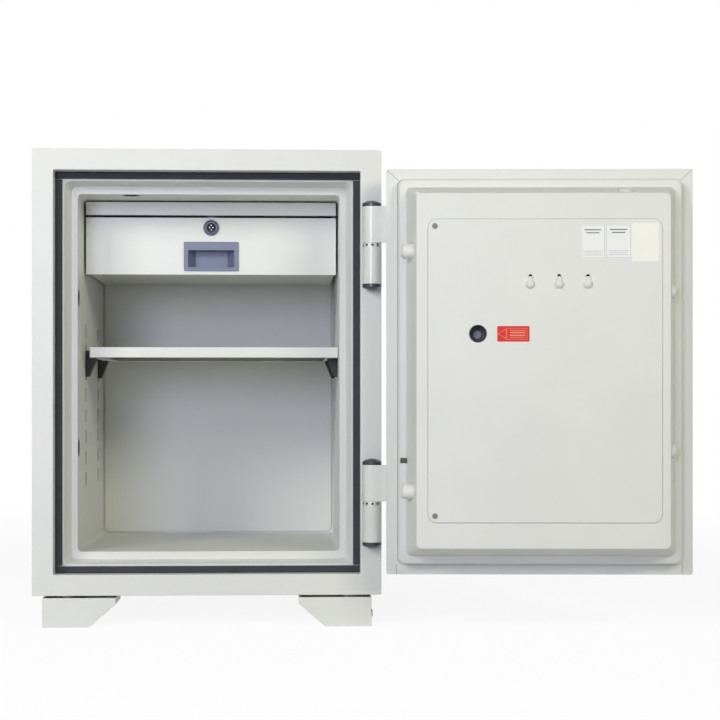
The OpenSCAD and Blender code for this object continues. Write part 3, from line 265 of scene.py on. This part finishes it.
zinc_plate = bare_metal("zinc_plated_steel", "#C6C8C4", "#A9ABA8", roughness=0.34, grain_size=0.004)
dress(ivory_powder_coat, "front_feet", "rear_feet")
dress(zinc_plate, "foot_posts", "foot_bolts")


# Hinges
# Two lift-off hinges turned from 27 mm steel bar. The lower knuckles are welded to the front frame
# through a pad, the upper ones to straps on the door; both are painted over. Ground pins, a bright
# thrust bearing between the knuckles, and domed caps of dark blue-black plastic.
hinge_coat = powder_coat("thick_glossy_ivory_coat", "#E4E5DF", "#E0E1DB", roughness=0.2)
dress(hinge_coat, "hinge_body_knuckle_upper", "hinge_body_knuckle_lower",
      "hinge_door_knuckle_upper", "hinge_door_knuckle_lower")
ground_steel = bare_metal("ground_bright_steel", "#D9DBDC", "#C9CBCD", roughness=0.24, grain_size=0.003,
                          stretch=(1, 1, 0.15))
dress(ground_steel, "hinge_pins")
swing = next(j for j in frame["record"]["behaviour"]["joints"] if j["name"] == "door_swing")
hinge_line = Vector(swing["pos_m"])

# Satin steel on the band's outside. Nearer to the pins' axis than these distances it is painted dark,
# as painted shade in the ball pockets.
pocket_shade_within, steel_beyond = 0.0121, 0.0125
bearing_steel, tree, place = new_finish("satin_bearing_band")
flat = node(tree, "VectorMath", {"operation": "MULTIPLY"}, {0: place, 1: (1, 1, 0)}).outputs[0]
away = node(tree, "VectorMath", {"operation": "DISTANCE"}, {0: flat, 1: (hinge_line.x, hinge_line.y, 0)})
skin_deep = node(tree, "MapRange", {}, {"Value": away.outputs["Value"], "From Min": pocket_shade_within,
                                        "From Max": steel_beyond})
pocket_shade_tint = node(tree, "MixRGB", {}, {"Fac": skin_deep.outputs[0], "Color1": linear("#23252B"),
                                 "Color2": linear("#C9CAC8")})
surface(tree, {"Base Color": pocket_shade_tint.outputs[0], "Metallic": 0.35, "Roughness": 0.5})
dress(bearing_steel, "hinge_bearings")

# Polyethylene from a polished mould: glossy, with a faint flow cloud
cap_plastic, tree, place = new_finish("moulded_dark_cap_plastic")
flow = clouds(tree, place, per_metre=60.0, detail=2.0)
surface(tree, {"Base Color": two_tones(tree, flow, "#262F3C", "#333F50"), "Roughness": 0.24,
               "Normal": round_edge(tree, 0.0008)})
dress(cap_plastic, "hinge_top_caps", "hinge_bottom_caps")


# Drawer cabinet
# A folded sheet box without a front, hung from the liner's ceiling by four screws with spacers.
# Its fascia strip carries the catch of the drawer's lock. White powder coat inside and out.
white_powder_coat = powder_coat("white_powder_coat", "#E6E7E2", "#E2E3DE", roughness=0.4)
dress(white_powder_coat, "drawer_cabinet")
dress(zinc_plate, "cabinet_screws")


# Shelf and brackets
# One sheet folded down and in on all four sides, white powder coat. It lies on four wedge brackets
# that hook into the windows; these are stamped, bent and dipped in black.
dress(white_powder_coat, "shelf")
black_enamel = powder_coat("black_bracket_enamel", "#1B1C1F", "#141517", roughness=0.5)
dress(black_enamel, "shelf_brackets")


# Door pans and fill
# The outer pan is folded like the shell, with mitred and welded flange corners. The stepped inner pan
# is pressed: a rounded first step, a ledge and a tapered plug that fill the jamb when the door is shut.
dress(ivory_powder_coat, "door_outer_pan", "door_plug_pan")
dress(mineral_fill, "door_insulation")
open_turn = (Matrix.Translation(hinge_line) @ Matrix.Rotation(math.radians(-swing["range_deg"][0]), 4, "Z")
             @ Matrix.Translation(-hinge_line))

# Where the body stands in the frame, in mm: the middle of its width, its front face and its underside
body_middle, body_front, body_underside = 195.9, -40.5, 44


def at(x, depth, z):
    """A point in mm to the right of the body's middle, behind its front face and above its underside,
    as it is with the door shut, in the frame's metres."""
    return Vector((body_middle + x, body_front + depth, body_underside + z)) / 1000


def alone(piece):
    """Leaves only this piece selected and active."""
    bpy.ops.object.select_all(action="DESELECT")
    piece.select_set(True)
    bpy.context.view_layer.objects.active = piece


def hang_on_door(piece, body="door"):
    """Swings a piece that was made on the shut door out to where the door stands, and lets it ride
    on the door or on a body that the door carries."""
    alone(piece)
    piece.matrix_world = open_turn @ piece.matrix_world
    bpy.ops.object.transform_apply(location=True, rotation=True, scale=True)
    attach(piece, body)


def hang_finished(piece, finish, body="door"):
    """Gives a piece its finish and hangs it on the door, or on a body that the door carries."""
    piece.data.materials.append(finish)
    hang_on_door(piece, body)


def ease_edges(offset):
    """Breaks all the edges of the piece just made."""
    bpy.ops.object.mode_set(mode="EDIT")
    bpy.ops.mesh.select_all(action="SELECT")
    bpy.ops.mesh.bevel(offset=offset, segments=2)
    bpy.ops.object.mode_set(mode="OBJECT")


# A darker ivory as painted shade, for the flange seams and the gap round the cover
seam_shade_coat = powder_coat("ivory_coat_painted_seam_shade", "#A9AAA4", "#A1A29C", roughness=0.55)


def seam_bead_with_painted_shade(name, x0, z0, x1, z1):
    """A ground weld seam under the paint on the flange: a narrow bead from one point to another.
    Its darker colour is painted shade in the seam.
    """
    bead_wide, bead_proud, flange_face = 0.0007, 0.00008, 22.33
    long = math.hypot(x1 - x0, z1 - z0) / 1000
    bpy.ops.mesh.primitive_cube_add(size=1, location=(0, 0, 0))
    bead = settled(name, (long, bead_proud, bead_wide))
    ease_edges(0.00003)
    middle = (at(x0, flange_face, z0) + at(x1, flange_face, z1)) / 2
    bead.matrix_world = Matrix.Translation(middle) @ Matrix.Rotation(-math.atan2(z1 - z0, x1 - x0), 4, "Y")
    hang_finished(bead, seam_shade_coat)


# The flange is mitred at the top corners and butted at the bottom ones; x0, z0, x1 and z1 are in mm
seam_bead_with_painted_shade("flange_mitre_hinge_side", 190.8, 568.6, 207.6, 584.1)
seam_bead_with_painted_shade("flange_mitre_lock_side", -190.8, 568.6, -207.6, 584.1)
seam_bead_with_painted_shade("flange_butt_hinge_side", 194.3, 33.6, 194.3, 46.6)
seam_bead_with_painted_shade("flange_butt_lock_side", -194.3, 33.6, -194.3, 46.6)


# Inner cover, labels and screws
# A flat cover screwed over the boltwork, with three pressed key hooks and a hole for the button's well.
# Three paper labels are stuck in its top corner and a red one points to the button; instead of words
# they have a thin frame, ruled lines and an arrow. The corner one stays bare.
dress(ivory_powder_coat, "door_inner_cover")
dress(zinc_plate, "cover_screws")
cover_face = 89.5
paper_thick = 0.00015
ink_thick = 0.00004


def coated_paper(name, colour, shade, roughness):
    """Label stock: matt-coated paper or vinyl with a faint fibre cloud, drawn at 5 mm."""
    finish, tree, place = new_finish(name)
    fibre = clouds(tree, place, per_metre=200.0, detail=4.0)
    surface(tree, {"Base Color": two_tones(tree, fibre, shade, colour), "Roughness": roughness})
    return finish


def on_cover(name, x0, x1, z0, z1, lift):
    """A rectangle lifted off the cover's face by some metres, or sunk under it where the lift is negative."""
    middle = (at(x0, cover_face, z0) + at(x1, cover_face, z1)) / 2
    bpy.ops.mesh.primitive_plane_add(size=1, location=middle + Vector((0, lift, 0)),
                                     rotation=(math.radians(-90), 0, 0))
    return settled(name, ((x1 - x0) / 1000, (z1 - z0) / 1000, 1))


def thicken(thick, corner=0.0, steps=4, rim=0.0):
    """Gives the flat piece just made its thickness. Before that, its corners are rounded where a radius
    is given, and all but a frame is taken out of it where a rim's width is given."""
    bpy.ops.object.mode_set(mode="EDIT")
    bpy.ops.mesh.select_all(action="SELECT")
    if corner:
        bpy.ops.mesh.bevel(offset=corner, segments=steps, affect="VERTICES")
        bpy.ops.mesh.select_all(action="SELECT")
    if rim:
        bpy.ops.mesh.inset(thickness=rim)
        bpy.ops.mesh.delete(type="FACE")
        bpy.ops.mesh.select_all(action="SELECT")
    bpy.ops.mesh.extrude_region_move(TRANSFORM_OT_translate={"value": (0, thick, 0)})
    bpy.ops.mesh.select_all(action="SELECT")
    bpy.ops.mesh.normals_make_consistent(inside=False)
    bpy.ops.object.mode_set(mode="OBJECT")


def sticker(name, x0, x1, z0, z1, finish):
    """A label with rounded corners, stuck on the cover."""
    label = on_cover(name, x0, x1, z0, z1, 0)
    thicken(paper_thick, corner=0.0015)
    hang_finished(label, finish)


def printed_frame(name, x0, x1, z0, z1, line, finish):
    """A thin printed frame on a label."""
    outline = on_cover(name, x0, x1, z0, z1, paper_thick)
    thicken(ink_thick, rim=line / 1000)
    hang_finished(outline, finish)


def joined(pieces):
    """Joins pieces into the first of them."""
    alone(pieces[0])
    for piece in pieces[1:]:
        piece.select_set(True)
    bpy.ops.object.join()
    return pieces[0]


def ruled_lines(name, lines, finish):
    """Printed lines on a label, as one piece; each line is given as x0, x1, z0, z1."""
    rows = []
    for line in lines:
        rows.append(on_cover(name, *line, paper_thick))
        thicken(paper_thick, corner=0.0002)
    hang_finished(joined(rows), finish)


white_label_paper = coated_paper("white_label_paper", "#F1F2EE", "#ECEDE9", roughness=0.55)
cream_label_paper = coated_paper("cream_label_paper", "#F6F5ED", "#F1F0E7", roughness=0.5)
red_label_vinyl = coated_paper("red_label_vinyl", "#DA2009", "#CF1B07", roughness=0.42)
grey_print = coated_paper("grey_printed_line", "#C3C6CF", "#B9BCC6", roughness=0.55)
dark_print = coated_paper("dark_printed_line", "#7F8287", "#76797E", roughness=0.55)
pale_print = coated_paper("pale_red_print", "#F0977F", "#EA8C73", roughness=0.4)

# A thin darker line on the plug's face round the cover's edge is painted shade of the gap under the cover.
# Here and on the labels x0, x1, z0 and z1 are in mm.
cover_gap_shade_line = on_cover("cover_gap_painted_shade", -157.6, 153.6, 107.2, 510.8, -0.0012)
thicken(ink_thick, corner=0.0126, steps=8, rim=0.0006)
hang_finished(cover_gap_shade_line, seam_shade_coat)


def white_label(name, x0, x1, z0, z1):
    """A white label with a frame, two dark lines at its head and three thin grey ones at its foot.
    The second line of each block is shorter at both ends."""
    sticker(name, x0, x1, z0, z1, white_label_paper)
    margin, shorter = 0.8, 2.5
    printed_frame(name + "_frame", x0 + margin, x1 - margin, z0 + margin, z1 - margin, 0.6, grey_print)
    for block, rows, top, pitch, thick, side, ink in (("_head", 2, 6.4, 4.0, 1.5, 5.5, dark_print),
                                                      ("_foot", 3, 35.0, 2.6, 0.7, 3.6, grey_print)):
        lines = []
        for row in range(rows):
            indent = side + shorter * (row == 1)
            z = z1 - top - pitch * row
            lines.append((x0 + indent, x1 - indent, z - thick, z))
        ruled_lines(name + block, lines, ink)


white_label("label_left", -81.6, -48.4, 457.4, 502.8)
white_label("label_middle", -116.0, -81.9, 457.8, 503.2)
sticker("label_corner", -152.4, -116.4, 454.0, 504.8, cream_label_paper)

# The red label's print is a plain outlined arrow that points to the button, with lines in its shaft
sticker("button_label", 18.7, 61.4, 347.7, 368.4, red_label_vinyl)
printed_frame("button_label_shaft", 22.0, 49.0, 350.6, 365.5, 0.45, pale_print)
ruled_lines("button_label_lines", [(24.4, 44.6, z, z + thick) for z, thick in
                                   ((353.0, 0.7), (355.3, 1.7), (359.0, 1.7), (362.3, 0.7))], pale_print)
bpy.ops.mesh.primitive_circle_add(vertices=3, radius=0.0078, fill_type="NGON",
                                  location=at(53.4, cover_face, 358.05) + Vector((0, paper_thick, 0)),
                                  rotation=(math.radians(-90), math.radians(-90), 0))
tip = settled("button_label_tip")
thicken(ink_thick, rim=0.00055)
hang_finished(tip, pale_print)


def rounded(piece, radius, steps, sharper_than):
    """Rounds the edges of the active piece that turn by more than an angle in degrees."""
    bevel = piece.modifiers.new("rounded", "BEVEL")
    bevel.width = radius
    bevel.segments = steps
    bevel.limit_method = "ANGLE"
    bevel.angle_limit = math.radians(sharper_than)
    bpy.ops.object.modifier_apply(modifier="rounded")


# Pan-head cover screws with a cross recess, dark zinc
screw_zinc = bare_metal("blackened_zinc_screw", "#7C7D7B", "#61625F", roughness=0.38, grain_size=0.002)
screw_x, head_middle, head_top = 144.0, 90.25, 90.8
for name, z in (("cover_screw_upper", 501.2), ("cover_screw_lower", 116.8)):
    bpy.ops.mesh.primitive_cylinder_add(vertices=40, radius=0.0036, depth=0.0015,
                                        location=at(screw_x, head_middle, z),
                                        rotation=(math.radians(90), 0, 0))
    head = settled(name)
    rounded(head, radius=0.0007, steps=4, sharper_than=30)
    for turn in (20, 110):
        bpy.ops.mesh.primitive_cube_add(size=1, location=at(screw_x, head_top, z),
                                        rotation=(0, math.radians(turn), 0))
        bit = settled("screwdriver_bit", (0.0042, 0.0018, 0.0009))
        alone(head)
        cut = head.modifiers.new("recess", "BOOLEAN")
        cut.operation = "DIFFERENCE"
        cut.object = bit
        bpy.ops.object.modifier_apply(modifier="recess")
        bpy.data.objects.remove(bit, do_unlink=True)
    alone(head)
    bpy.ops.object.shade_smooth_by_angle(angle=math.radians(30))
    hang_finished(head, screw_zinc)
    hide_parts("cover_screws")


# Bolts and boltwork
# Two fixed bolts on the hinge side, two live ones on the lock side and one at the top, turned from
# 20.5 mm bar and painted where they show. The handle's cam moves them by zinc-plated links.
dress(ivory_powder_coat, "fixed_bolts", "live_bolts", "top_bolt")
dress(zinc_plate, "mechanism_plate", "bolt_guides", "bolt_carrier", "handle_spindle")


# Lock case, button well and button
# The electronic lock hides behind the cover, in a moulded black case. The code button is grey and
# sits deep in a moulded black tube.
def moulded_plastic(name, colour, shade, roughness, grain_size):
    """Moulded ABS with a spark-eroded grain; the real grain is 0.2 mm and is drawn coarser to show."""
    finish, tree, place = new_finish(name)
    grain = clouds(tree, place, per_metre=1 / grain_size, detail=3.0)
    surface(tree, {"Base Color": two_tones(tree, grain, shade, colour), "Roughness": roughness, "IOR": 1.53,
                   "Normal": marked_skin(tree, grain, strength=0.15, depth=0.0003, radius=0.0006)})
    return finish


black_plastic = moulded_plastic("moulded_black_abs", "#141518", "#0F1012", roughness=0.36, grain_size=0.002)
grey_plastic = moulded_plastic("moulded_grey_button", "#B3B6BE", "#A6A9B2", roughness=0.4, grain_size=0.002)
dress(black_plastic, "lock_case", "button_well")
dress(grey_plastic, "reset_button")


# Handle
# A cast zinc lever and rose, polished and chrome-plated, on the door's front.
# The lever's neck is cast with it and runs into the rose.
chrome_plate = bare_metal("polished_chrome_plate", "#C9CACD", "#BDBEC2", roughness=0.16, grain_size=0.02)
dress(chrome_plate, "handle_rose")

# The grip: a disc whose lower half is drawn down to the tip, given its thickness and rounded edges
handle_x, handle_z, grip_back, neck_middle = -60, 309, -25.4, -14.4
hub_radius, tip_radius, grip_long, grip_thick = 0.0128, 0.0076, 0.095, 0.0104
hub = at(handle_x, grip_back, handle_z)
bpy.ops.mesh.primitive_circle_add(vertices=48, radius=hub_radius, fill_type="NGON", location=hub,
                                  rotation=(math.radians(90), 0, 0))
lever = settled("cast_lever")
# Only the lower half of the disc's edge is picked and moved
bpy.ops.object.mode_set(mode="EDIT")
bpy.ops.mesh.select_all(action="DESELECT")
bpy.ops.object.mode_set(mode="OBJECT")
for vert in lever.data.vertices:
    vert.select = vert.co.z < hub.z - 0.0001
for edge in lever.data.edges:
    edge.select = all(lever.data.vertices[v].select for v in edge.vertices)
bpy.ops.object.mode_set(mode="EDIT")
bpy.ops.mesh.select_mode(type="VERT")
bpy.ops.transform.translate(value=(0, 0, -grip_long))
bpy.ops.transform.resize(value=(tip_radius / hub_radius, 1, tip_radius / hub_radius),
                         center_override=hub - Vector((0, 0, grip_long)))
bpy.ops.object.mode_set(mode="OBJECT")
thicken(-grip_thick)
rounded(lever, radius=0.0034, steps=6, sharper_than=60)
bpy.ops.mesh.primitive_cylinder_add(vertices=48, radius=0.0126, depth=0.0240,
                                    location=at(handle_x, neck_middle, handle_z),
                                    rotation=(math.radians(90), 0, 0))
joined([lever, settled("lever_neck")])
bpy.ops.object.shade_smooth_by_angle(angle=math.radians(35))
hang_finished(lever, chrome_plate, "handle")
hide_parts("handle_lever")


# Keypad
# A black moulded housing with twelve pale rubber keys on the door's front.
# Each key has its sign printed on it in dark ink, and moves with it.
dress(black_plastic, "keypad_housing")
key_rubber = moulded_plastic("pale_key_rubber", "#D6D8D7", "#CCCECD", roughness=0.6, grain_size=0.003)
dress(key_rubber, *[name for name in frame["nodes"] if name.startswith("key_")])

legend_ink = coated_paper("dark_key_legend_ink", "#2A2C31", "#232529", roughness=0.5)
keypad_x, keypad_z, key_top = 83.9, 384, -13.53
pitch_x, pitch_z = 22, 19
keys = ["key_%d" % n for n in range(1, 10)] + ["key_star", "key_0", "key_hash"]
for i, (key, sign) in enumerate(zip(keys, "123456789*0#")):
    bpy.ops.object.text_add(location=(0, 0, 0))
    words = bpy.context.object.data
    words.body = sign
    words.size = 0.0095
    words.extrude = ink_thick
    words.align_x = "CENTER"
    words.align_y = "CENTER"
    bpy.ops.object.convert(target="MESH")
    legend = bpy.context.object
    legend.name = "legend_" + key
    row, column = divmod(i, 3)
    spot = at(keypad_x + (column - 1) * pitch_x, key_top, keypad_z + (1.5 - row) * pitch_z)
    legend.matrix_world = Matrix.Translation(spot) @ Matrix.Rotation(math.radians(90), 4, "X")
    hang_finished(legend, legend_ink, key)


# Drawer
# A folded tray behind a flanged front, white powder coat, with a snap-in finger pull of blue-grey ABS
# and a small cam lock: a chromed ring round a dull black rotor.
dress(white_powder_coat, "drawer_tray", "drawer_front")
blue_grey_plastic = moulded_plastic("moulded_blue_grey_abs", "#727A92", "#6A728B", roughness=0.42,
                                    grain_size=0.003)
dress(blue_grey_plastic, "drawer_pull")
# The ring's chrome is coloured dark: painted shade and painted dark reflections on the ring
ring_chrome_painted_dark = bare_metal("darkened_chrome_lock_ring", "#66686F", "#41434A", roughness=0.22, grain_size=0.004)
dress(ring_chrome_painted_dark, "drawer_lock_barrel")
dull_black_plastic = moulded_plastic("dull_black_rotor", "#0C0D11", "#090A0D", roughness=0.8,
                                     grain_size=0.002)
dress(dull_black_plastic, "drawer_lock_rotor")

# The ends of four wafers round the keyway, small and bright
lock_face, lock_z = 127.9, 521.8
wafer_ends = []
for x, z in ((0, 3.6), (-2.4, 0.2), (2.4, 0.2), (0, -3.4)):
    bpy.ops.mesh.primitive_cube_add(size=1, location=at(x, lock_face, lock_z + z))
    wafer_ends.append(settled("lock_wafers", (0.0013, 0.0004, 0.0015)))
    ease_edges(0.0001)
wafers = joined(wafer_ends)
wafer_nickel = bare_metal("nickel_plated_wafer", "#DADBD2", "#C6C7BC", roughness=0.3, grain_size=0.002)
wafers.data.materials.append(wafer_nickel)
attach(wafers, "drawer_lock")
